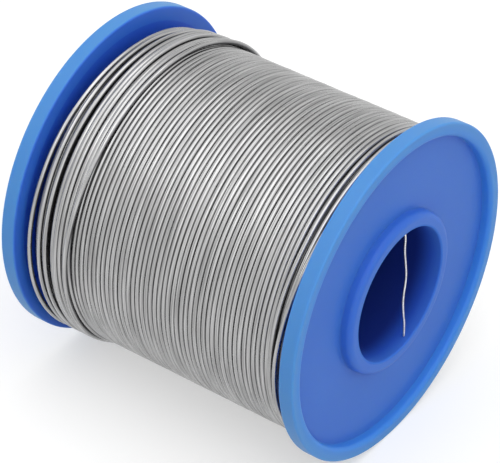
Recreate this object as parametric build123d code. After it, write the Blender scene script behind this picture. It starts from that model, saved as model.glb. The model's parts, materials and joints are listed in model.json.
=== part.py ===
"""Solder wire spool: a two-part moulded spool, wound full of flux-cored solder wire.

Row frame: the spool axis is Y, +Z is up and the origin is on the axis, midway between the two
flanges. The spool lies on its rims. The near half is at -Y, the far half at +Y. Millimetres.
"""
from build123d import *
from math import cos, pi, radians, sin, tan
import os

# ---- spool mouldings -------------------------------------------------------------------------
flange_d = 66.0          # across the rims
traverse = 60.0          # winding width between the flanges
flange_t = 3.1           # a flange at its rim
rim_w = 2.7              # the rim ring, measured along the radius
recess_depth = 1.9       # from the rim's face down to the thin web
bore_d = 26.5            # spindle bore
hub_wall = 2.65          # the raised ring round the bore, at its end face
hub_proud = 0.25         # how far the hub stands out past the rim, so that it takes the side load
barrel_wall = 2.65       # wall of the tube that carries the wire
draft_deg = 3.0          # draft of the moulded walls in the recess
rim_bevel = 0.4          # broken outer edges of the rim
lip_bevel = 0.3          # broken edges of the rim and the hub over the recess
bore_bevel = 0.25        # lead-in at the bore's mouths

# ---- lap joint in the middle of the barrel ---------------------------------------------------
lap_len = 5.0            # how far the near half's spigot reaches into the far half
spigot_wall = 1.3        # wall of the spigot
lap_clearance = 0.05     # between spigot and socket, on the radius
spigot_end_gap = 0.2     # between the spigot's end and the socket's shoulder
seam_bevel = 0.25        # lead-in on both sides of the seam in the bore

# ---- solder wire -----------------------------------------------------------------------------
wire_d = 1.0             # the wound wire
nesting = 0.9            # rise of one layer over the one below, in wire diameters
wound_r = 30.3           # over the crests of the outermost full layer
sag = 0.7                # how far the wound coil has settled below the spool's axis
far_gap = 2.0            # free space beside the far flange, where the last turns have slipped away
far_gap_r = 27.0         # the wire that fills the bottom of that space reaches up to here
near_end_w = 4.3         # width of the uneven end turns beside the near flange
end_turns_dip = 0.35     # how far the end turns lie below the neat ones
loose_groups = [         # loose turns that ride on the neat layer: distances from the far flange
    (2.0, 3.0),
    (3.3, 5.7),
    (6.3, 12.3),
]

# ---- free end of the wire --------------------------------------------------------------------
tail_d = 0.4             # the free end, drawn thinner than the wound wire
flux_d = 0.14            # rosin core, which shows at the cut end
start_hole_d = 1.3       # hole in the barrel that the wire starts from
start_inset = 0.9        # hole's centre, measured from the near flange's inner face
start_angle = 17.5       # hole's place, from the top towards +X, in degrees
bend_drop = 1.05         # where the free end turns forward, below the top of the bore
hang_inset = 1.75        # how far behind the near rim's face it hangs
end_height = 1.19        # its cut end, above the bottom of the bore

half_traverse = traverse/2
flange_r = flange_d/2
bore_r = bore_d/2
hub_r = bore_r + hub_wall
barrel_r = bore_r + barrel_wall
rim_face = half_traverse + flange_t
hub_face = rim_face + hub_proud
web_face = rim_face - recess_depth
rim_inner_r = flange_r - rim_w
spigot_r = bore_r + spigot_wall
socket_r = spigot_r + lap_clearance
layer_r = wound_r - wire_d*nesting
neat_near_y = -half_traverse + near_end_w
neat_far_y = half_traverse - far_gap
full_turn = 360


def revolved(outline, drop=0.0):
    """Spins an outline of (radius, y) points round the spool's axis, or round one that lies lower."""
    face = make_face(Polyline(*outline, close=True))
    return Pos(0, 0, -drop)*revolve(face, Axis.Y, full_turn)


def break_edge(solid, bevel, y_place, radius):
    """Bevels the circular edge that lies at one y and has one radius."""
    edges = [
        edge for edge in solid.edges().filter_by(GeomType.CIRCLE)
        if abs(edge.center().Y - y_place) < 0.01 and abs(edge.radius - radius) < 0.01
    ]
    return chamfer(edges, bevel)


def spigot():
    """The near half's end of the lap joint, as (radius, y) points from the bore outwards."""
    return [
        (bore_r, -lap_len + seam_bevel),
        (bore_r + seam_bevel, -lap_len),
        (spigot_r - seam_bevel, -lap_len),
        (spigot_r, -lap_len + seam_bevel),
        (spigot_r, 0),
        (barrel_r, 0),
    ]


def socket():
    """The far half's end of the lap joint, which takes the spigot with a named clearance."""
    shoulder = lap_len + spigot_end_gap
    return [
        (bore_r, shoulder + seam_bevel),
        (bore_r + seam_bevel, shoulder),
        (socket_r, shoulder),
        (socket_r, 0),
        (barrel_r, 0),
    ]


def spool_half(lap_joint):
    """One moulding with its flange towards +Y: barrel, flange, rim, thin web and raised hub."""
    hub_base_r = hub_r + (hub_face - web_face)*tan(radians(draft_deg))
    rim_base_r = rim_inner_r - recess_depth*tan(radians(draft_deg))
    half = revolved(lap_joint + [
        (barrel_r, half_traverse),
        (flange_r, half_traverse),
        (flange_r, rim_face),
        (rim_inner_r, rim_face),
        (rim_base_r, web_face),
        (hub_base_r, web_face),
        (hub_r, hub_face),
        (bore_r, hub_face),
    ])
    for bevel, y_place, radius in (
        (rim_bevel, rim_face, flange_r),
        (rim_bevel, half_traverse, flange_r),
        (lip_bevel, rim_face, rim_inner_r),
        (lip_bevel, hub_face, hub_r),
        (bore_bevel, hub_face, bore_r),
    ):
        half = break_edge(half, bevel, y_place, radius)
    return half


def wire_ring(inner_r, outer_r, near_y, far_y):
    """A band of close turns, which has settled with the rest of the coil."""
    return revolved([(inner_r, near_y), (outer_r, near_y), (outer_r, far_y), (inner_r, far_y)], sag)


def write(shape, node):
    """Saves one node as its own STEP file."""
    shape.label = node
    export_step(shape, f"parts/{node}.step")


os.makedirs("parts", exist_ok=True)

# the far half carries the socket; the near half is the same moulding with a spigot, turned round
far_half = spool_half(socket())
near_half = Rot(0, 0, 180)*spool_half(spigot())

# the wire starts through a small radial hole just inside the near flange
start_y = -half_traverse + start_inset
start_dir = Vector(sin(radians(start_angle)), 0, cos(radians(start_angle)))
hole_path = Plane(origin=Vector(0, start_y, 0) + start_dir*bore_r/2, z_dir=start_dir)
near_half -= hole_path*Cylinder(start_hole_d/2, barrel_r, align=(Align.CENTER, Align.CENTER, Align.MIN))

# the packed layers fill the barrel up to the outermost layer, and fall away beside the far flange
coil = revolved([
    (0, -half_traverse),
    (layer_r, -half_traverse),
    (layer_r, neat_far_y),
    (far_gap_r, neat_far_y),
    (far_gap_r, half_traverse),
    (0, half_traverse),
], sag)
wound_layers = coil - Rot(90, 0, 0)*Cylinder(barrel_r, traverse)

# the outermost neat layer, the uneven turns beside the near flange, and the loose groups on top
top_layer = wire_ring(layer_r, wound_r, neat_near_y, neat_far_y)
end_turns = wire_ring(layer_r, wound_r - end_turns_dip, -half_traverse, neat_near_y)
loose_turns = Compound(children=[
    wire_ring(wound_r, wound_r + wire_d, half_traverse - group_end, half_traverse - group_start)
    for group_start, group_end in loose_groups
])

# the free end: out of the hole, forward towards the mouth, then hanging down in the bore
hang_y = -rim_face + hang_inset
hang_end = -bore_r + end_height
tail_points = [
    Vector(0, start_y, 0) + start_dir*barrel_r,
    Vector(3.85, start_y - 0.1, bore_r - bend_drop),
    Vector(4.1, hang_y + 0.3, bore_r - 4.35),
    Vector(3.9, hang_y, bore_r - 7.05),
    Vector(4.35, hang_y - 0.05, bore_r - 11.65),
    Vector(3.2, hang_y + 0.05, hang_end + 6.46),
    Vector(3.72, hang_y, hang_end),
]


def corner_radii(points):
    """Each corner's arc is as large as its two runs allow."""
    radii = []
    for before, here, after in zip(points, points[1:], points[2:]):
        run_in, run_out = here - before, after - here
        turn = radians(run_in.get_angle(run_out))
        radii.append(0.45*min(run_in.length, run_out.length)/tan(turn/2))
    return radii


tail_radii = corner_radii(tail_points)
tail_path = FilletPolyline(*tail_points, radius=tail_radii)
tail_start = Plane(origin=tail_path @ 0, z_dir=tail_path % 0)
tail = sweep(tail_start*Circle(tail_d/2), tail_path)
print("free end: length %.2f mm, radii %s" % (tail_path.length, [round(r, 2) for r in tail_radii]))
print("free end: volume %.4f, section times length %.4f" % (
    tail.volume, tail_path.length*pi*(tail_d/2)**2))

# the flux core, in the straight last run up to the cut end
last_run = tail_path.edges()[-1]
flux_core = Plane(origin=last_run @ 0, z_dir=last_run % 0)*Cylinder(
    flux_d/2, last_run.length, align=(Align.CENTER, Align.CENTER, Align.MIN))
start_tail = tail - flux_core

for shape, node in (
    (near_half, "near_spool_half"),
    (far_half, "far_spool_half"),
    (wound_layers, "wound_layers"),
    (top_layer, "top_layer"),
    (end_turns, "end_turns"),
    (loose_turns, "loose_turns"),
    (start_tail, "start_tail"),
    (flux_core, "flux_core"),
):
    write(shape, node)
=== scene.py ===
# %% [markdown]
# # A spool of solder wire
#
# The real object is simple: a blue moulded spool in two halves, one long soft wire wound on it in
# layers, and the wire's free end hanging in the bore. Nearly all of its look comes from two things,
# the soft sheen of moulded plastic and several dozen round turns of grey metal side by side.
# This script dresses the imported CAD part. The CAD gives the sizes; here each visible surface gets
# a mesh with true roundings and a finish of its own.

import json
import math

import bmesh
import bpy
import numpy as np
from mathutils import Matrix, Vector

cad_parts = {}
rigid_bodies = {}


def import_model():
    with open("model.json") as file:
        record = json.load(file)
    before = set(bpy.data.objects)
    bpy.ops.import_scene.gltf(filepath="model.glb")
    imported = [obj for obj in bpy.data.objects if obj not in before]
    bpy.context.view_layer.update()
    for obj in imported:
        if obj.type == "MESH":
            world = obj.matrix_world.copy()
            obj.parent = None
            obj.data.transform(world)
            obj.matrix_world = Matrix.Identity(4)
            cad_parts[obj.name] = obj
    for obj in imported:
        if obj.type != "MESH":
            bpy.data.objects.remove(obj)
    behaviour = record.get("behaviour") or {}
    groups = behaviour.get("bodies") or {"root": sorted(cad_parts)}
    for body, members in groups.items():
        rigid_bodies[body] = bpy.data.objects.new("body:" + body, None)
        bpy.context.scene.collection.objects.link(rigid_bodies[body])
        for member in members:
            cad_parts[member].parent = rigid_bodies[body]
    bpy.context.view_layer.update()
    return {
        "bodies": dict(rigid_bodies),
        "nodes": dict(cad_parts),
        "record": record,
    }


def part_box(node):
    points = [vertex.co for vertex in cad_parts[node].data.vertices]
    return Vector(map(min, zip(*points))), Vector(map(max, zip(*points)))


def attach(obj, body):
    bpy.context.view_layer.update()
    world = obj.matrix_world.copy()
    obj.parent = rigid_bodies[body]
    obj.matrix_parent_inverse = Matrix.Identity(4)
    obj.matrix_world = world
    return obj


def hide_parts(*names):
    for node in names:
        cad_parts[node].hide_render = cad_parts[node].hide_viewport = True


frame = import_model()
BODY = next(iter(frame["bodies"]))
print("body:", BODY, "nodes:", sorted(frame["nodes"]))

# %% [markdown]
# ## Sizes
#
# The outer sizes are read from the CAD nodes' boxes and from the record's bore, so that the meshes
# below follow the part when it changes. A box can't tell a wall's thickness or a small step, so
# those are written out, as they are in the CAD. Lengths are in metres, as everywhere in Blender,
# and MM turns millimetres into metres. The spool's axis is Y; the near half is at -Y.

# %% Sizes of the spool
MM = 0.001
near_low, near_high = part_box("near_spool_half")
packed_low, packed_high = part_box("wound_layers")
bore = next(m for m in frame["record"]["mounts"] if m["kind"] == "bore")

FLANGE_R = near_high[2]
BORE_R = bore["dims"]["r_mm"]*MM
BARREL_WALL = 2.65*MM
BARREL_R = BORE_R + BARREL_WALL
HALF_TRAVERSE = packed_high[1]      # half the winding width between the flanges
HUB_FACE = -near_low[1]
HUB_PROUD = 0.25*MM
RIM_FACE = HUB_FACE - HUB_PROUD
print("flange %.2f mm, bore %.2f mm, between the flanges %.2f mm" % (
    FLANGE_R*2/MM, BORE_R*2/MM, HALF_TRAVERSE*2/MM))

# %% Sizes of the coil
coil_low, coil_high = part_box("top_layer")
loose_low, loose_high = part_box("loose_turns")

NEAT_R = (coil_high[0] - coil_low[0])/2
SAG = -(coil_high[2] + coil_low[2])/2       # the coil has settled this far below the axis
WIRE_D = (loose_high[0] - loose_low[0])/2 - NEAT_R
LAYER_R = (packed_high[0] - packed_low[0])/2
print("coil %.2f mm, wire %.2f mm, sag %.2f mm" % (NEAT_R*2/MM, WIRE_D/MM, SAG/MM))

# %% [markdown]
# ## A camera at a low three-quarter angle
#
# The spool is seen from its near end, from the left and from above. A long lens from half a metre
# keeps the two flanges nearly the same size. A camera could be placed and turned by six numbers.
# Its horizon is level, though, so a point to aim at, an azimuth, an elevation and a distance say
# the same in terms that are easy to picture.

# %% Camera
CAMERA_AIM = Vector((-0.70*MM, 0.06*MM, -0.65*MM))
CAMERA_AZIMUTH = math.radians(-53.3)
CAMERA_ELEVATION = math.radians(37.95)
CAMERA_DISTANCE = 0.4823
CAMERA_SENSOR = 36
CAMERA_LENS = 186.6

camera_data = bpy.data.cameras.new("camera")
camera_data.sensor_width = CAMERA_SENSOR
camera_data.lens = CAMERA_LENS
camera = bpy.data.objects.new("camera", camera_data)
bpy.context.collection.objects.link(camera)
towards_camera = Vector((
    math.sin(CAMERA_AZIMUTH)*math.cos(CAMERA_ELEVATION),
    -math.cos(CAMERA_AZIMUTH)*math.cos(CAMERA_ELEVATION),
    math.sin(CAMERA_ELEVATION)))
camera.location = CAMERA_AIM + CAMERA_DISTANCE*towards_camera
camera.rotation_euler = (-towards_camera).to_track_quat("-Z", "Y").to_euler()
bpy.context.scene.camera = camera
print("camera at", [round(v, 4) for v in camera.location])

# %% [markdown]
# ## Colours and nodes
#
# Colours are written as sRGB hex, the way a colour picker shows them, and Blender's shaders want
# linear light, so one function converts them. One more function adds a shader node with its
# settings and links, which keeps each material to a few readable lines.

# %% Colour and node helpers
def linear(hex_colour):
    """An sRGB hex colour as linear RGBA."""
    parts = [int(hex_colour[i:i + 2], 16)/255 for i in (1, 3, 5)]
    return [p/12.92 if p <= 0.04045 else ((p + 0.055)/1.055)**2.4 for p in parts] + [1]


def add_node(tree, kind, settings=None, **links):
    """A shader node. settings are its properties; links are its inputs, as values or as sockets.

    An input goes by its name, with _ for each space, or by _ and its number where names repeat.
    """
    node = tree.nodes.new(kind)
    for name, value in (settings or {}).items():
        setattr(node, name, value)
    for name, value in links.items():
        key = int(name[1:]) if name[1:].isdigit() else name.replace("_", " ")
        if isinstance(value, bpy.types.NodeSocket):
            tree.links.new(value, node.inputs[key])
        else:
            node.inputs[key].default_value = value
    return node


def new_material(name):
    """An empty material, its node tree and its output node."""
    material = bpy.data.materials.new(name)
    material.use_nodes = True
    material.node_tree.nodes.clear()
    return material, material.node_tree, add_node(material.node_tree, "ShaderNodeOutputMaterial")


# %% [markdown]
# ## Moulded polystyrene
#
# Spools like this are injection-moulded in high-impact polystyrene with a blue masterbatch. To the
# eye that is a soft, broad highlight over a saturated blue. The colour isn't the same all over:
# the melt leaves a slow swing in tone, and what lies behind or beside a wall changes it too.
# Tones could be painted on the mesh by hand, but they would have to be lined up with every wall
# again whenever a size changes. Here the shader works out where a point lies on the spool instead,
# from its distance to the axis and to the middle, and mixes its tone from that.

# %% Plastic: the body's blue and where a point lies
PLASTIC_BLUE = "#3f74cf"
PLASTIC_DEEP = "#386cc8"
PLASTIC_FLOW = 24*MM        # one swing in tone, about the melt's way from the hub to the rim

moulded_blue, tree, output = new_material("moulded_blue_polystyrene")
place = add_node(tree, "ShaderNodeTexCoord").outputs["Object"]
flow = add_node(tree, "ShaderNodeTexNoise", Vector=place, Scale=1/PLASTIC_FLOW, Detail=2.0)
body = add_node(tree, "ShaderNodeMix", {"data_type": "RGBA"}, _0=flow.outputs["Fac"],
                _6=linear(PLASTIC_DEEP), _7=linear(PLASTIC_BLUE))
parts = add_node(tree, "ShaderNodeSeparateXYZ", Vector=place)
flat = add_node(tree, "ShaderNodeCombineXYZ", X=parts.outputs["X"], Y=parts.outputs["Z"])
reach = add_node(tree, "ShaderNodeVectorMath", {"operation": "LENGTH"}, _0=flat.outputs[0])
along = add_node(tree, "ShaderNodeMath", {"operation": "ABSOLUTE"}, _0=parts.outputs["Y"])
print("plastic: blue swings over %.0f mm" % (PLASTIC_FLOW/MM))

# %% [markdown]
# ### Painted bounce light and painted shade in the plastic
#
# The flanges' inner faces and the mouth of the bore get much of their light from other blue walls,
# and the coil shades the inner faces, so their blue is purer; a purer blue paints this bounce light
# and shade. Further in, the tube has dark solder behind it, and what light gets into its wall
# doesn't come back, so it darkens to navy; that navy also paints the shade deep in the long bore.
# Two more colours give this, each with a soft mask. The rendered light does a part of it by itself,
# but it can't know what is behind a wall.

# %% Plastic: painted bounce light and shade on inner faces, mouth and tube
# The first colour paints bounce light and shade on the flanges' inner faces and the bore's mouth.
PAINTED_BOUNCE_BLUE = "#0e45cc"
# The navy is partly the solder seen through the tube's wall and partly painted shade deep in the
# bore.
BACKED_PAINTED_SHADE = "#08267e"
RIM_ROUND = 0.4*MM          # rounding of the rim's outer edges
PAINTED_BOUNCE_SHARE = 0.6
TUBE_SKIN = 0.4*MM          # counts as the tube's wall, so that the mouth's rounding does too
PAINTED_BOUNCE_FADE = 2.5*MM
BORE_SHADE_FROM = 1.0*MM
BORE_SHADE_OVER = 5*MM

# Mask of the painted bounce light and shade: the inner faces and the mouth of the bore.
painted_bounce_mask = add_node(tree, "ShaderNodeMapRange", {"interpolation_type": "SMOOTHSTEP"},
                 Value=along.outputs[0], From_Min=HALF_TRAVERSE,
                 From_Max=HALF_TRAVERSE + RIM_ROUND, To_Min=PAINTED_BOUNCE_SHARE, To_Max=0.0)
in_tube = add_node(tree, "ShaderNodeMath", {"operation": "LESS_THAN"},
                   _0=reach.outputs["Value"], _1=BORE_R + TUBE_SKIN)
painted_mouth_mask = add_node(tree, "ShaderNodeMapRange", Value=along.outputs[0], From_Min=HUB_FACE,
                 From_Max=HUB_FACE - PAINTED_BOUNCE_FADE, To_Max=PAINTED_BOUNCE_SHARE)
painted_mouth_mask = add_node(tree, "ShaderNodeMath", {"operation": "MULTIPLY"},
                 _0=painted_mouth_mask.outputs[0], _1=in_tube.outputs[0])
painted_bounce_mask = add_node(tree, "ShaderNodeMath", {"operation": "MAXIMUM"},
                 _0=painted_bounce_mask.outputs[0], _1=painted_mouth_mask.outputs[0])
body = add_node(tree, "ShaderNodeMix", {"data_type": "RGBA"}, _0=painted_bounce_mask.outputs[0],
                _6=body.outputs[2], _7=linear(PAINTED_BOUNCE_BLUE))
# Mask of the navy: painted shade that deepens along the bore, where the solder also lies behind the
# wall.
backed_shade_mask = add_node(tree, "ShaderNodeMapRange", {"interpolation_type": "SMOOTHSTEP"},
                  Value=along.outputs[0], From_Min=HUB_FACE - BORE_SHADE_FROM,
                  From_Max=HUB_FACE - BORE_SHADE_FROM - BORE_SHADE_OVER)
backed_shade_mask = add_node(tree, "ShaderNodeMath", {"operation": "MULTIPLY"},
                  _0=backed_shade_mask.outputs[0], _1=in_tube.outputs[0])
body = add_node(tree, "ShaderNodeMix", {"data_type": "RGBA"}, _0=backed_shade_mask.outputs[0],
                _6=body.outputs[2], _7=linear(BACKED_PAINTED_SHADE))
print("plastic: navy from %.1f mm inside the bore" % ((BORE_SHADE_FROM + BORE_SHADE_OVER)/MM))

# %% [markdown]
# ### Painted light on the rim ring
#
# The rim is a solid ring that light enters from three sides, and the web inside it is a thin sheet
# in the ring's shade. So the whole ring reads as a lighter azure that ends sharply at the web, and
# it pales further towards its outer edge. Subsurface scattering alone spreads too little in so
# small a ring, so two lighter tones across the ring's width paint this light in.

# %% Plastic: painted light on the rim ring
# Painted light: a lighter azure over the rim ring and a paler tone towards its outer edge.
PAINTED_RIM_LIGHT = "#4086d8"
PAINTED_EDGE_LIGHT = "#508ecd"
RING_WIDTH = 2.95*MM
RING_FADE = 0.2*MM
RIM_LIGHT_INSIDE = 0.3           # how much of the ring's tone its inner face keeps

# Mask of the painted rim light; the ring's inner face keeps a share of it.
rim_light_mask = add_node(tree, "ShaderNodeMapRange", {"interpolation_type": "SMOOTHSTEP"},
                   Value=reach.outputs["Value"], From_Min=FLANGE_R - RING_WIDTH,
                   From_Max=FLANGE_R - RING_WIDTH + RING_FADE)
outside = add_node(tree, "ShaderNodeMapRange", {"interpolation_type": "SMOOTHSTEP"},
                   Value=along.outputs[0], From_Min=HALF_TRAVERSE,
                   From_Max=HALF_TRAVERSE + RIM_ROUND, To_Min=RIM_LIGHT_INSIDE, To_Max=1.0)
rim_light_mask = add_node(tree, "ShaderNodeMath", {"operation": "MULTIPLY"},
                   _0=rim_light_mask.outputs[0], _1=outside.outputs[0])
edge_light_ramp = add_node(tree, "ShaderNodeMapRange", {"interpolation_type": "SMOOTHSTEP"},
                   Value=reach.outputs["Value"], From_Min=FLANGE_R - RING_WIDTH,
                   From_Max=FLANGE_R)
painted_rim_light_tone = add_node(tree, "ShaderNodeMix", {"data_type": "RGBA"}, _0=edge_light_ramp.outputs[0],
                     _6=linear(PAINTED_RIM_LIGHT), _7=linear(PAINTED_EDGE_LIGHT))
body = add_node(tree, "ShaderNodeMix", {"data_type": "RGBA"}, _0=rim_light_mask.outputs[0],
                _6=body.outputs[2], _7=painted_rim_light_tone.outputs[2])
print("plastic: rim ring %.2f mm wide" % (RING_WIDTH/MM))

# %% [markdown]
# ### The satin skin
#
# The mould was polished but not to a mirror, and the rubber in the plastic dulls its skin further,
# so the shine is satin. The bore is left by a core pin that nobody polishes, and it has next to
# none. Polystyrene's IOR is 1.59 and the rubber brings it down. Red light goes a quarter as far in
# the plastic as blue does, which keeps the soft edges blue. A slight unevenness of about a third of
# a millimetre, as polishing by hand leaves on a mould, only breaks the highlight.

# %% Plastic: skin
SKIN_ROUGH = 0.45
TUBE_ROUGH = 0.80
PLASTIC_IOR = 1.5
PLASTIC_SHINE = 0.2
LIGHT_IN = 0.6              # share of the light that goes into the plastic
LIGHT_SPREAD = 2.5*MM
LIGHT_REACH = (0.25, 0.5, 1.0)      # red, green and blue light's share of that spread
PLASTIC_GRAIN = 0.35*MM
GRAIN_HEIGHT = 0.02*MM
GRAIN_STRENGTH = 0.08

grain = add_node(tree, "ShaderNodeTexNoise", Vector=place, Scale=1/PLASTIC_GRAIN, Detail=3.0)
bump = add_node(tree, "ShaderNodeBump", Strength=GRAIN_STRENGTH, Distance=GRAIN_HEIGHT,
                Height=grain.outputs["Fac"])
rough = add_node(tree, "ShaderNodeMapRange", Value=in_tube.outputs[0],
                 To_Min=SKIN_ROUGH, To_Max=TUBE_ROUGH)
skin = add_node(tree, "ShaderNodeBsdfPrincipled", Base_Color=body.outputs[2],
                Roughness=rough.outputs[0], IOR=PLASTIC_IOR, Specular_IOR_Level=PLASTIC_SHINE,
                Subsurface_Weight=LIGHT_IN, Subsurface_Radius=LIGHT_REACH,
                Subsurface_Scale=LIGHT_SPREAD, Normal=bump.outputs["Normal"])
tree.links.new(skin.outputs["BSDF"], output.inputs["Surface"])
print("plastic:", moulded_blue.name, "with", len(tree.nodes), "nodes")

# %% [markdown]
# ## Drawn solder wire
#
# Solder is a soft tin and lead alloy, extruded and then drawn through dies. Drawing leaves fine
# lines along the wire and a dull satin polish, a grey metal that is neither chrome nor matte. The
# lines run round the coil, so their noise is laid out in the coil's own terms: the distance from
# the axis, the place along the axis, and the way round, which is stretched. Real drawing lines are
# a few hundredths of a millimetre apart. Here they are a fifth of a millimetre, or they would not
# show at all. The shine also swings over some millimetres, where fingers and rollers have rubbed.
#
# Between two turns the wire lies in shade, and a darker grey paints that shade in. The meshes mark
# the sides and underside of each turn with an attribute that mixes in this painted shade. The free
# end hangs in the bore, out of reach, and is paler and more matte than the handled coil.

# %% Solder
LINE_SPACING = 0.2*MM
LINE_LENGTH = 12*MM
LINE_HEIGHT = 0.02*MM
LINE_STRENGTH = 0.15
LINE_DULL = 0.35            # noise at or below this is all dull,
LINE_LIGHT = 0.65           # and at or above this all light
RUBBED_PATCH = 5*MM
SOLDER_GREY = "#bcbcbc"
SOLDER_DULL = "#909090"
# Painted shade between the turns.
GROOVE_PAINTED_SHADE = "#707072"
SOLDER_FRESH = "#e6e6e8"
DRAWN_ROUGH = (0.22, 0.34)
FRESH_ROUGH = (0.34, 0.42)


def solder(name, light, dull, roughness):
    """Drawn solder wire: its light and dull tone, and its lowest and highest roughness."""
    material, tree, output = new_material(name)
    place = add_node(tree, "ShaderNodeTexCoord").outputs["Object"]
    parts = add_node(tree, "ShaderNodeSeparateXYZ", Vector=place)
    sunk = add_node(tree, "ShaderNodeMath", {"operation": "ADD"}, _0=parts.outputs["Z"], _1=SAG)
    flat = add_node(tree, "ShaderNodeCombineXYZ", X=parts.outputs["X"], Y=sunk.outputs[0])
    reach = add_node(tree, "ShaderNodeVectorMath", {"operation": "LENGTH"}, _0=flat.outputs[0])
    way_round = add_node(tree, "ShaderNodeMath", {"operation": "ARCTAN2"},
                         _0=parts.outputs["X"], _1=sunk.outputs[0])
    arc = add_node(tree, "ShaderNodeMath", {"operation": "MULTIPLY"}, _0=way_round.outputs[0],
                   _1=NEAT_R*LINE_SPACING/LINE_LENGTH)
    coiled = add_node(tree, "ShaderNodeCombineXYZ", X=reach.outputs["Value"],
                      Y=parts.outputs["Y"], Z=arc.outputs[0])
    lines = add_node(tree, "ShaderNodeTexNoise", Vector=coiled.outputs[0],
                     Scale=1/LINE_SPACING, Detail=2.0)
    streaks = add_node(tree, "ShaderNodeMapRange", Value=lines.outputs["Fac"],
                       From_Min=LINE_DULL, From_Max=LINE_LIGHT)
    tone = add_node(tree, "ShaderNodeMix", {"data_type": "RGBA"}, _0=streaks.outputs[0],
                    _6=linear(dull), _7=linear(light))
    # The darker grey mixed in here is painted shade between the turns.
    painted_groove_shade = add_node(tree, "ShaderNodeAttribute", {"attribute_name": "painted_groove_shade"})
    tone = add_node(tree, "ShaderNodeMix", {"data_type": "RGBA"}, _0=painted_groove_shade.outputs["Fac"],
                    _6=tone.outputs[2], _7=linear(GROOVE_PAINTED_SHADE))
    rubbed = add_node(tree, "ShaderNodeTexNoise", Vector=place, Scale=1/RUBBED_PATCH, Detail=3.0)
    rough = add_node(tree, "ShaderNodeMapRange", Value=rubbed.outputs["Fac"],
                     To_Min=roughness[0], To_Max=roughness[1])
    scratch = add_node(tree, "ShaderNodeBump", Strength=LINE_STRENGTH, Distance=LINE_HEIGHT,
                       Height=lines.outputs["Fac"])
    metal = add_node(tree, "ShaderNodeBsdfPrincipled", Base_Color=tone.outputs[2], Metallic=1.0,
                     Roughness=rough.outputs[0], Normal=scratch.outputs["Normal"])
    tree.links.new(metal.outputs["BSDF"], output.inputs["Surface"])
    return material


drawn_solder = solder("drawn_solder_alloy", SOLDER_GREY, SOLDER_DULL, DRAWN_ROUGH)
fresh_solder = solder("fresh_drawn_solder_alloy", SOLDER_FRESH, SOLDER_GREY, FRESH_ROUGH)
print("solder:", drawn_solder.name, "and", fresh_solder.name)

# %% [markdown]
# ## Rosin
#
# Solder for electronics has a core of rosin, a brittle amber resin that flows out when the wire
# melts. It shows only where the wire was cut, as a small brown dot with a glassy break. The IOR of
# rosin is 1.53. Clear glass with colour inside would be truer to a big lump, but on a dot this
# small two mixed browns look the same and render without noise.

# %% Rosin
ROSIN_AMBER = "#6b4a1e"
ROSIN_DARK = "#4a3216"
ROSIN_CRUMB = 0.08*MM
ROSIN_ROUGH = 0.25
ROSIN_IOR = 1.53

amber_rosin, tree, output = new_material("broken_amber_rosin")
place = add_node(tree, "ShaderNodeTexCoord").outputs["Object"]
crumbs = add_node(tree, "ShaderNodeTexNoise", Vector=place, Scale=1/ROSIN_CRUMB, Detail=2.0)
tone = add_node(tree, "ShaderNodeMix", {"data_type": "RGBA"}, _0=crumbs.outputs["Fac"],
                _6=linear(ROSIN_DARK), _7=linear(ROSIN_AMBER))
resin = add_node(tree, "ShaderNodeBsdfPrincipled", Base_Color=tone.outputs[2],
                 Roughness=ROSIN_ROUGH, IOR=ROSIN_IOR)
tree.links.new(resin.outputs["BSDF"], output.inputs["Surface"])
print("rosin:", amber_rosin.name)

# %% [markdown]
# ## One function for round things: a lathe
#
# The spool is a turned shape, so each half is one outline spun round the Y axis. The outline is a
# list of corners, each with its own rounding, as a mould maker would draw it. Blender's Screw
# modifier spins outlines too, and a Bevel modifier rounds edges, but one width for all would not
# do here: a sharp root and a soft lip are two millimetres apart. Short supporting points beside
# each rounding keep the flat faces flat when the mesh is smooth-shaded.

# %% Rounded outlines
CORNER_STEPS = 8
SUPPORT = 0.08*MM


def rounded_outline(corners):
    """Points of a closed outline. Each corner is (radius, y, rounding)."""
    points = []
    for i, (r, y, rounding) in enumerate(corners):
        here = Vector((r, y))
        if rounding == 0:
            points.append(here)
            continue
        back = Vector(corners[i - 1][:2]) - here
        ahead = Vector(corners[(i + 1) % len(corners)][:2]) - here
        half_turn = back.angle(ahead)/2
        back.normalize()
        ahead.normalize()
        trim = rounding/math.tan(half_turn)
        start = here + back*trim
        centre = here + (back + ahead).normalized()*rounding/math.sin(half_turn)
        arm = start - centre
        swing = arm.angle_signed(here + ahead*trim - centre)
        points.append(start + back*SUPPORT)
        for step in range(CORNER_STEPS + 1):
            angle = -swing*step/CORNER_STEPS
            points.append(centre + Vector((
                arm.x*math.cos(angle) - arm.y*math.sin(angle),
                arm.x*math.sin(angle) + arm.y*math.cos(angle))))
        points.append(here + ahead*(trim + SUPPORT))
    return points


# %% Lathe
LATHE_STEPS = 192


def finished_piece(name, mesh):
    """Turns a bmesh into a smooth-shaded object with its normals outward."""
    bmesh.ops.recalc_face_normals(mesh, faces=mesh.faces)
    for face in mesh.faces:
        face.smooth = True
    data = bpy.data.meshes.new(name)
    mesh.to_mesh(data)
    mesh.free()
    piece = bpy.data.objects.new(name, data)
    bpy.context.collection.objects.link(piece)
    return piece


def spun(name, outline, drop=0.0, steps=LATHE_STEPS):
    """A closed ring: an outline of (radius, y) points spun round Y.

    Points outside the tube sink by drop, as the wound coil did when it settled.
    """
    mesh = bmesh.new()
    rings = []
    for step in range(steps):
        angle = math.tau*step/steps
        ring = []
        for r, y in outline:
            sink = drop if r > BARREL_R else 0
            ring.append(mesh.verts.new((r*math.cos(angle), y, r*math.sin(angle) - sink)))
        rings.append(ring)
    for ring, following in zip(rings, rings[1:] + rings[:1]):
        for i in range(len(outline)):
            mesh.faces.new((ring[i - 1], ring[i], following[i], following[i - 1]))
    return finished_piece(name, mesh)


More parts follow.
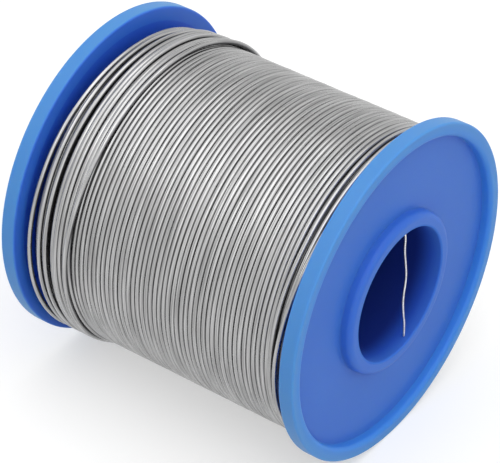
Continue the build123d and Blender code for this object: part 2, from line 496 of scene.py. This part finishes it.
# %% [markdown]
# ## Joining the part
#
# Each piece takes its material, rides with the part's body and hides the CAD nodes it stands for.
# Those nodes stay hidden in the model, where they serve for collisions.

# %% Dressing a piece
def dress(piece, material, slot_name, *nodes):
    """Gives a piece its material and its place in the part, and hides the CAD nodes it replaces."""
    piece.data.materials.append(material)
    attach(piece, BODY)
    if nodes:
        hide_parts(*nodes)
    return piece


# %% [markdown]
# ## The two spool halves
#
# Each half is one moulding: a tube that carries the wire, a flange with a thin sunk web, a rim and
# a raised hub. The rim and hub stand about two millimetres over the web, with a few degrees of
# draft so that the mould can let go. Their upper edges are generously rounded, because hands and
# spindles meet them, and their roots are sharp, as a steel insert leaves them. In the middle of the
# tube a spigot enters a socket.

# %% Outlines of the halves
HUB_WALL = 2.65*MM
RIM_W = 2.7*MM
RECESS = 1.9*MM
DRAFT = math.tan(math.radians(3))       # walls lean by this much per unit of height
WEB_FACE = RIM_FACE - RECESS
HUB_R = BORE_R + HUB_WALL
RIM_INNER_R = FLANGE_R - RIM_W
LIP_ROUND = 0.9*MM
HUB_ROUND = 1.2*MM
ROOT_ROUND = 0.12*MM
MOUTH_ROUND = 0.3*MM
BARREL_ROUND = 0.5*MM


def half_outline(lap_joint):
    """Corners of one half with its flange towards +Y, from the lap joint outwards."""
    return lap_joint + [
        (BARREL_R, HALF_TRAVERSE, BARREL_ROUND),
        (FLANGE_R, HALF_TRAVERSE, RIM_ROUND),
        (FLANGE_R, RIM_FACE, RIM_ROUND),
        (RIM_INNER_R, RIM_FACE, LIP_ROUND),
        (RIM_INNER_R - RECESS*DRAFT, WEB_FACE, ROOT_ROUND),
        (HUB_R + (HUB_FACE - WEB_FACE)*DRAFT, WEB_FACE, ROOT_ROUND),
        (HUB_R, HUB_FACE, HUB_ROUND),
        (BORE_R, HUB_FACE, MOUTH_ROUND),
    ]


# %% The lap joint and the two mouldings
LAP_LENGTH = near_high[1]
LAP_CLEARANCE = 0.05*MM
SPIGOT_R = BORE_R + 1.3*MM
SEAM_GAP = 0.2*MM
SEAM_ROUND = 0.25*MM

spigot = [
    (BORE_R, -LAP_LENGTH, SEAM_ROUND),
    (SPIGOT_R, -LAP_LENGTH, SEAM_ROUND),
    (SPIGOT_R, 0, 0),
    (BARREL_R, 0, 0),
]
socket = [
    (BORE_R, LAP_LENGTH + SEAM_GAP, SEAM_ROUND),
    (SPIGOT_R + LAP_CLEARANCE, LAP_LENGTH + SEAM_GAP, 0),
    (SPIGOT_R + LAP_CLEARANCE, 0, 0),
    (BARREL_R, 0, 0),
]
near_outline = [(p.x, -p.y) for p in rounded_outline(half_outline(spigot))]
far_outline = [(p.x, p.y) for p in rounded_outline(half_outline(socket))]
near_half = spun("near_spool_moulding", near_outline)
far_half = spun("far_spool_moulding", far_outline)
print("outlines:", len(near_outline), "and", len(far_outline), "points")

# %% [markdown]
# ## The start hole
#
# The wire starts through a small hole in the tube's wall, just inside the near flange. The hole
# crosses the lathe's faces, so it can't be a part of the outline. A Boolean modifier with a short
# drill cuts it, its result becomes the mesh, and edges that are sharper than a set angle stay
# crisp, because the cut leaves no supporting points.

# %% Start hole
START_HOLE_R = 0.65*MM
START_HOLE_Y = -HALF_TRAVERSE + 0.9*MM
START_ANGLE = math.radians(17.5)
DRILL_SIDES = 24
DRILL_LENGTH = BARREL_WALL + 2*MM
SHARP_ANGLE = math.radians(50)

start_direction = Vector((math.sin(START_ANGLE), 0, math.cos(START_ANGLE)))
drill_mesh = bmesh.new()
bmesh.ops.create_cone(drill_mesh, cap_ends=True, segments=DRILL_SIDES, radius1=START_HOLE_R,
                      radius2=START_HOLE_R, depth=DRILL_LENGTH)
drill = finished_piece("drill", drill_mesh)
drill.rotation_euler = start_direction.to_track_quat("Z", "Y").to_euler()
drill.location = start_direction*(BORE_R + BARREL_WALL/2) + Vector((0, START_HOLE_Y, 0))
cut = near_half.modifiers.new("start hole", "BOOLEAN")
cut.operation = "DIFFERENCE"
cut.solver = "EXACT"
cut.object = drill
bpy.context.view_layer.update()
graph = bpy.context.evaluated_depsgraph_get()
drilled = bpy.data.meshes.new_from_object(near_half.evaluated_get(graph))
near_half.modifiers.clear()
near_half.data = drilled
near_half.data.set_sharp_from_angle(angle=SHARP_ANGLE)
bpy.data.objects.remove(drill)

dress(near_half, moulded_blue, "spool_plastic", "near_spool_half")
dress(far_half, moulded_blue, "spool_plastic", "far_spool_half")
print("spool halves:", len(near_half.data.polygons), "and", len(far_half.data.polygons), "faces")

# %% [markdown]
# ## Round wire by the metre
#
# The wire is what this object is about, so its turns are real round tubes and no pattern on a drum.
# A turn of a coil is nearly a circle round the spool's axis: at each step its place is an angle, a
# radius and a y. The tube's own cross-section then lies in the plane of the radius and the axis,
# which needs no frame that twists. A bevelled curve would make such a tube too, but it can't carry
# the attribute that marks the painted shade between turns. Numpy works out all the points at once,
# because the outer layer alone has tens of thousands of them.

# %% Wire tube
WIRE_R = 0.482*WIRE_D       # drawn a little thin, so that turns that wander don't cut in
WIRE_SIDES = 12
# The sides and underside of each turn take the painted shade between turns: it begins below the
# first number and is full below the second.
PAINTED_SHADE_FROM = 0.6           # a side that faces outwards by less than this starts to dull,
PAINTED_SHADE_TO = 0.05            # and by less than this it is all groove


def wire_piece(name, strands):
    """Tubes with closed ends. A strand is three arrays: angle in degrees from +X, radius and y."""
    around = np.linspace(0, math.tau, WIRE_SIDES, endpoint=False)
    points = []
    faces = []
    for angle, radius, y in strands:
        turned = np.radians(angle)[:, None]
        r = radius[:, None] + WIRE_R*np.cos(around)
        ring = np.stack([
            r*np.cos(turned),
            y[:, None] + WIRE_R*np.sin(around),
            r*np.sin(turned) - SAG], axis=-1)
        first = sum(len(p) for p in points)
        rows = first + np.arange(len(angle))[:, None]*WIRE_SIDES + np.arange(WIRE_SIDES)
        beside = np.roll(rows, -1, axis=1)
        quads = np.stack([rows[:-1], beside[:-1], beside[1:], rows[1:]], axis=-1).reshape(-1, 4)
        points.append(ring.reshape(-1, 3))
        faces += quads.tolist() + [rows[0][::-1].tolist(), rows[-1].tolist()]
    data = bpy.data.meshes.new(name)
    data.from_pydata(np.concatenate(points).tolist(), [], faces)
    data.polygons.foreach_set("use_smooth", [True]*len(data.polygons))
    # Marks the painted shade on each ring of the tube.
    painted_groove_shade = data.attributes.new("painted_groove_shade", "FLOAT", "POINT")
    depth = np.clip((PAINTED_SHADE_FROM - np.cos(around))/(PAINTED_SHADE_FROM - PAINTED_SHADE_TO), 0, 1)
    painted_groove_shade.data.foreach_set("value", np.tile(depth, len(data.vertices)//WIRE_SIDES))
    data.update()
    piece = bpy.data.objects.new(name, data)
    bpy.context.collection.objects.link(piece)
    return piece


# %% [markdown]
# ## Lines that a hand or a machine would lay
#
# No real turn is a perfect circle. Three small functions bend the lines: one joins places along
# the wire with eased corners, one adds a slow seeded wander, and one tucks a strand's two ends into
# the coil. Random jitter on each point would be shorter to write, but wire is stiff enough that
# it strays slowly, over some fifty degrees of a turn.

# %% Eased, wandering and tucked lines
FULL_TURN = 360
TURN_STEPS = 120
STEP = FULL_TURN/TURN_STEPS
EASE_OVER = 40              # all three in degrees along the wire
WANDER_OVER = 55
TUCK_OVER = 50


def eased(angles, knots, values):
    """Values between knots along the wire, with the corners rounded off."""
    reach = int(EASE_OVER/STEP/2)
    window = np.hanning(2*reach + 1)
    padded = np.concatenate([
        angles[0] - STEP*np.arange(reach, 0, -1),
        angles,
        angles[-1] + STEP*np.arange(1, reach + 1)])
    return np.convolve(np.interp(padded, knots, values), window/window.sum(), mode="valid")


def wander(angles, size, seed):
    """A slow, seeded wander of the wire about its true line."""
    knots = np.arange(angles[0] - WANDER_OVER, angles[-1] + 2*WANDER_OVER, WANDER_OVER)
    return eased(angles, knots, np.random.default_rng(seed).normal(0, size, len(knots)))


def tucked(angles, start_dip, end_dip, over=TUCK_OVER):
    """How far a strand's two ends dive into the coil, so that no cut end shows."""
    return (start_dip*np.clip(1 - (angles - angles[0])/over, 0, 1)**2
            + end_dip*np.clip(1 - (angles[-1] - angles)/over, 0, 1)**2)


# %% [markdown]
# ## The neat outer layer
#
# A winding machine lays this layer turn against turn. Copies of one ring would look nearly the
# same, but a ring doesn't move on from turn to turn, so this is one long helix whose pitch is the
# wire itself, from the far flange to the near one. Under the loose turns it leaves out almost a
# wire's width and then half of one, which gives the black grooves between them, and these steps
# hide at the back of the coil. Its start rises out of the gap beside the far flange, as the real
# wire climbs from one layer to the next, and its end dives into the coil under the spool.

# %% Neat turns
PITCH = 0.9966*WIRE_D       # soft wire presses into its neighbour a little
NEAT_AXIS_R = NEAT_R - WIRE_D/2
FIRST_PLACE = 12.30*MM      # distance from the far flange at turn 0
PLACE_ANGLE = 105.8         # and the angle at which that holds
TURNS_BELOW = 8.5
TURNS_ABOVE = 43.42
STEPS_LEFT_OUT = ((-2.4, 0.50*MM), (-5.4, 0.92*MM))
STEP_OVER = 0.3             # each step is spread over this share of a turn
SIDE_WANDER = 0.018*MM
RISE_WANDER = 0.02*MM
CLIMB_OVER = 110            # degrees over which the start climbs
CLIMB_SIDE = 1.0*MM         # how much nearer to the flange it starts
CLIMB_RISE = 1.77*MM        # and how much deeper
END_DIP = 1.5*MM

turn = np.arange(-TURNS_BELOW, TURNS_ABOVE, 1/TURN_STEPS)
angle = PLACE_ANGLE + FULL_TURN*turn
from_far = FIRST_PLACE + PITCH*turn
for step_turn, step in STEPS_LEFT_OUT:
    from_far = from_far - step*np.clip((step_turn - turn)/STEP_OVER + 0.5, 0, 1)
from_far = from_far + wander(angle, SIDE_WANDER, seed=4)
from_far = from_far - tucked(angle, CLIMB_SIDE, 0, CLIMB_OVER)
radius = NEAT_AXIS_R + wander(angle, RISE_WANDER, seed=7)
radius = radius - tucked(angle, CLIMB_RISE, 0, CLIMB_OVER) - tucked(angle, 0, END_DIP)
neat_wire = dress(
    wire_piece("neat_wire", [(angle, radius, HALF_TRAVERSE - from_far)]),
    drawn_solder, "solder", "top_layer")
print("neat turns:", round(TURNS_BELOW + TURNS_ABOVE, 1), "faces:", len(neat_wire.data.polygons))

# %% [markdown]
# ## The loose turns beside the far flange
#
# The last turns of the wire ride on the neat layer and were laid by hand, so their spacing is
# uneven. They are one strand that goes round nine times. A physics simulation could drop them on
# the coil, but it would not lay them where they lie here, so each row below says where one turn
# lies, as its distance from the far flange at five places: behind the top, over the top, on the
# front, on the left and at the foot. A second table says how high it rides there, in wire
# diameters. The first turn leans away from its neighbour and the last one climbs over the two
# before it.

# %% Loose turns: where they lie
LOOSE_STATIONS = (55, 88, 136, 176, 225)        # degrees from +X, over the top
LOOSE_PLACES = (
    (3.85, 3.45, 2.30, 1.84, 2.00),
    (4.70, 4.38, 3.98, 4.12, 4.50),
    (6.35, 5.95, 5.42, 5.60, 5.90),
    (7.45, 7.30, 7.12, 7.48, 7.70),
    (8.40, 8.25, 8.02, 8.18, 8.55),
    (9.15, 8.95, 8.90, 9.05, 9.45),
    (10.75, 10.22, 10.05, 9.92, 10.40),
    (11.60, 11.05, 10.94, 10.82, 11.40),
    (12.90, 12.30, 11.80, 10.58, 10.50),
)
LOOSE_RISE = (
    (0.45, 0.8, 1.0, 1.0, 1.0),
    (0.40, 0.8, 1.0, 1.0, 1.0),
    (0.85, 1.0, 1.0, 1.0, 1.0),
    (0.9, 1.0, 1.0, 1.0, 1.0),
    (0.9, 1.0, 1.25, 1.2, 1.0),
    (1.0, 1.1, 1.0, 1.0, 1.0),
    (0.8, 0.95, 1.0, 0.7, 0.7),
    (1.1, 1.0, 1.2, 0.7, 0.3),
    (1.25, 1.1, 1.15, 1.5, 1.0),
)

# %% Loose turns: the strand
STRAND_WANDER = 0.02*MM
STRAND_DIP = 1.5*MM


def strand(stations, places, rises, seed, lead=30):
    """One strand through rows of places, with lead degrees more at both ends: angle, radius, y."""
    knots = [FULL_TURN*i + s for i in range(len(places)) for s in stations]
    angles = np.arange(knots[0] - lead, knots[-1] + lead, STEP)
    spots = eased(angles, knots, np.array(places).ravel()*MM)
    spots = spots + wander(angles, STRAND_WANDER, seed)
    heights = eased(angles, knots, np.array(rises).ravel()*WIRE_D)
    heights = heights + wander(angles, STRAND_WANDER, seed + 1)
    radius = NEAT_AXIS_R + heights - tucked(angles, STRAND_DIP, STRAND_DIP)
    return angles, radius, HALF_TRAVERSE - spots


loose_wire = dress(
    wire_piece("loose_wire", [strand(LOOSE_STATIONS, LOOSE_PLACES, LOOSE_RISE, seed=11)]),
    drawn_solder, "solder", "loose_turns")
print("loose turns:", len(LOOSE_PLACES), "faces:", len(loose_wire.data.polygons))

# %% [markdown]
# ## The end turns beside the near flange
#
# Where the layer meets the near flange its last turns can't lie flat. One rides up on its
# neighbour and a slanted one crosses from the flange to the coil, with dark gaps round them. They
# are three short strands from the same function, each with its places and its rises.

# %% End turns
END_STATIONS = (65, 107, 130, 157, 180)
END_STRANDS = (
    ((55.95, 56.45, 56.45, 56.10, 56.05), (-0.1, 0.0, 0.0, 0.1, 0.1)),
    ((56.90, 57.85, 57.80, 57.45, 57.10), (-0.3, -0.1, -0.1, -0.1, -0.2)),
    ((59.30, 59.10, 58.90, 58.10, 57.35), (-0.4, 0.0, 0.3, 0.7, 0.7)),
)
END_LEAD = 60

end_wire = dress(
    wire_piece("end_wire", [
        strand(END_STATIONS, [places], [rises], seed=21 + 2*i, lead=END_LEAD)
        for i, (places, rises) in enumerate(END_STRANDS)
    ]),
    drawn_solder, "solder", "end_turns")
print("end strands:", len(END_STRANDS), "faces:", len(end_wire.data.polygons))

# %% [markdown]
# ## The imported layers underneath
#
# Under the outer turns lie about fifteen more layers. Only the outermost of these shows, in the
# gaps between turns, and a few rows that step down beside the far flange. Tubes for all of them
# would cost a million faces that nobody sees, so they are one turned body whose outline has a round
# ridge for each turn. The ridges are half circles set side by side by a formula. The whole body
# lies in the others' shade, so all of it takes the painted shade grey at nearly full strength.

# %% Packed layers
RIDGE_STEPS = 6
HALF_ROUND = (180, 0)       # from the near side over the crest to the far side
FACING_FLANGE = (60, -60)   # the part of a row in the gap that faces the far flange
FAR_GAP = HALF_TRAVERSE - coil_high[1]
GAP_ROWS = (1.4*MM, 0.9*MM, 1.4*MM)
LAYER_RISE = WIRE_D*math.sqrt(3)/2      # rows nest in the grooves of the row below
PACKED_AXIS_R = LAYER_R - WIRE_D/2
# Painted shade over the whole packed body.
PACKED_PAINTED_SHADE = 0.95


def ridge(r, y, directions):
    """An arc of one wire's surface, between two directions in degrees, 90 pointing outwards."""
    return [
        (r + WIRE_D/2*math.sin(math.radians(a)), y + WIRE_D/2*math.cos(math.radians(a)))
        for a in np.linspace(*directions, RIDGE_STEPS + 1)[:-1]
    ]


packed_outline = [(BARREL_R, -HALF_TRAVERSE)]
turn_count = int((2*HALF_TRAVERSE - FAR_GAP)/WIRE_D)
for i in range(turn_count):
    packed_outline += ridge(PACKED_AXIS_R, -HALF_TRAVERSE + (i + 0.5)*WIRE_D, HALF_ROUND)
for i, from_flange in enumerate(GAP_ROWS):
    packed_outline += ridge(
        PACKED_AXIS_R - (i + 1)*LAYER_RISE, HALF_TRAVERSE - from_flange, FACING_FLANGE)
packed_outline.append((PACKED_AXIS_R - len(GAP_ROWS)*LAYER_RISE, HALF_TRAVERSE))
packed_outline.append((BARREL_R, HALF_TRAVERSE))
packed_wire = dress(
    spun("packed_wire", packed_outline, SAG, TURN_STEPS), drawn_solder, "solder", "wound_layers")
shade = packed_wire.data.attributes.new("painted_groove_shade", "FLOAT", "POINT")
shade.data.foreach_set("value", [PACKED_PAINTED_SHADE]*len(packed_wire.data.vertices))
print("packed layers:", turn_count, "turns wide, faces:", len(packed_wire.data.polygons))

# %% [markdown]
# ## The free end of the wire
#
# The wire starts through the small hole in the tube and its first end hangs out in the bore. It is
# a soft wire that was bent by hand, so it hangs in lazy curves. A chain of arcs would show its
# joints as kinks; a NURBS curve with the route's points as its control points gives one smooth
# line. It ends in a clean cut, where the flux core shows as an amber dot.

# %% Free end
TAIL_D = 0.4*MM
TAIL_POINTS = (
    (4.78, -29.10, 15.17),
    (4.30, -29.25, 12.40),
    (4.58, -30.90, 10.20),
    (3.40, -31.45, 7.20),
    (3.75, -31.60, 4.20),
    (4.00, -31.75, 0.60),
    (2.80, -31.95, -3.40),
    (2.95, -32.10, -7.20),
    (3.45, -32.15, -9.60),
    (3.35, -32.20, -12.50),
)


def curve_piece(name, points, diameter):
    """A round rod along a smooth line that the points, in millimetres, steer."""
    curve = bpy.data.curves.new(name, "CURVE")
    curve.dimensions = "3D"
    curve.bevel_depth = diameter/2
    curve.bevel_resolution = 5
    curve.resolution_u = 12
    curve.use_fill_caps = True
    line = curve.splines.new("NURBS")
    line.points.add(len(points) - 1)
    for point, place in zip(line.points, points):
        point.co = [c*MM for c in place] + [1]
    line.order_u = 3
    line.use_endpoint_u = True
    piece = bpy.data.objects.new(name, curve)
    bpy.context.collection.objects.link(piece)
    return piece


dress(curve_piece("free_wire_end", TAIL_POINTS, TAIL_D), fresh_solder, "solder", "start_tail")
print("free end hangs to z = %.1f mm" % TAIL_POINTS[-1][2])

# %% Rosin core
CORE_D = 0.16*MM
CORE_PLACES = (-3.0, -1.5, 0.03)        # along the wire from its cut end, in millimetres

last, tip = Vector(TAIL_POINTS[-2]), Vector(TAIL_POINTS[-1])
run_out = (tip - last).normalized()
dress(
    curve_piece("rosin_core", [tip + run_out*way for way in CORE_PLACES], CORE_D),
    amber_rosin, "flux", "flux_core")
print("rosin core: %.2f mm across" % (CORE_D/MM))

# %% [markdown]
# ## Floor
#
# A pale paper floor, as in a small product studio. To the camera and in reflections it reads as
# white, while it still takes the spool's shadow. More lamps would whiten it too, but they would
# bleach the blue. So the paper itself is a light grey, and a faint glow is added only for rays
# that look at it straight from the camera, in a mirror or through glass.

# %% Floor
FLOOR_SIZE = 3.0
PAPER_GREY = "#cccccc"
PAPER_GLOW = 0.44


def seen_directly(tree):
    """1 for a ray from the camera, a reflection or glass, and 0 for one that only carries light."""
    rays = add_node(tree, "ShaderNodeLightPath")
    seen = add_node(tree, "ShaderNodeMath", {"operation": "MAXIMUM"},
                    _0=rays.outputs["Is Camera Ray"], _1=rays.outputs["Is Glossy Ray"])
    seen = add_node(tree, "ShaderNodeMath", {"operation": "MAXIMUM"},
                    _0=seen.outputs[0], _1=rays.outputs["Is Transmission Ray"])
    return seen.outputs[0]


floor_mesh = bmesh.new()
bmesh.ops.create_grid(floor_mesh, x_segments=1, y_segments=1, size=FLOOR_SIZE/2)
floor = finished_piece("floor", floor_mesh)
floor.location.z = -FLANGE_R
paper, tree, output = new_material("white_paper")
matte = add_node(tree, "ShaderNodeBsdfDiffuse", Color=linear(PAPER_GREY))
lift = add_node(tree, "ShaderNodeMath", {"operation": "MULTIPLY"},
                _0=seen_directly(tree), _1=PAPER_GLOW)
glow = add_node(tree, "ShaderNodeEmission", Color=(1, 1, 1, 1), Strength=lift.outputs[0])
both = add_node(tree, "ShaderNodeAddShader", _0=matte.outputs[0], _1=glow.outputs[0])
tree.links.new(both.outputs[0], output.inputs["Surface"])
floor.data.materials.append(paper)
print("floor at z = %.1f mm" % (floor.location.z/MM))

# %% [markdown]
# ## World and lamps
#
# The world is white where it is seen and dimmer where it only lights, so that the lamps can shape
# the spool. A white world alone would light it evenly and flatten it. There are four lamps, each
# large beside the spool, so that every highlight has a soft edge: a key overhead, a weak fill from
# the left, one in front of the near face and a smaller one behind for the far rim.

# %% World and lamps
WORLD_LEVEL = 0.58

world = bpy.data.worlds.new("studio")
world.use_nodes = True
bpy.context.scene.world = world
tree = world.node_tree
tree.nodes.clear()
output = add_node(tree, "ShaderNodeOutputWorld")
level = add_node(tree, "ShaderNodeMath", {"operation": "MAXIMUM"},
                 _0=seen_directly(tree), _1=WORLD_LEVEL)
sky = add_node(tree, "ShaderNodeBackground", Color=(1, 1, 1, 1), Strength=level.outputs[0])
tree.links.new(sky.outputs[0], output.inputs["Surface"])


def lamp(name, place, size, watts):
    """A square soft lamp that points at the spool."""
    data = bpy.data.lights.new(name, "AREA")
    data.size = size
    data.energy = watts
    light = bpy.data.objects.new(name, data)
    light.location = place
    light.rotation_euler = (-light.location).to_track_quat("-Z", "Y").to_euler()
    bpy.context.collection.objects.link(light)


lamp("key", place=(-0.10, -0.20, 0.85), size=1.3, watts=6.8)
lamp("fill", place=(-0.75, -0.35, 0.25), size=1.3, watts=0.9)
lamp("front", place=(-0.35, -0.85, 0.15), size=1.1, watts=1.6)
lamp("back", place=(-0.15, 0.85, 0.22), size=0.40, watts=0.7)

bpy.context.scene.view_settings.view_transform = "Standard"
print("lamps:", len(bpy.data.lights))
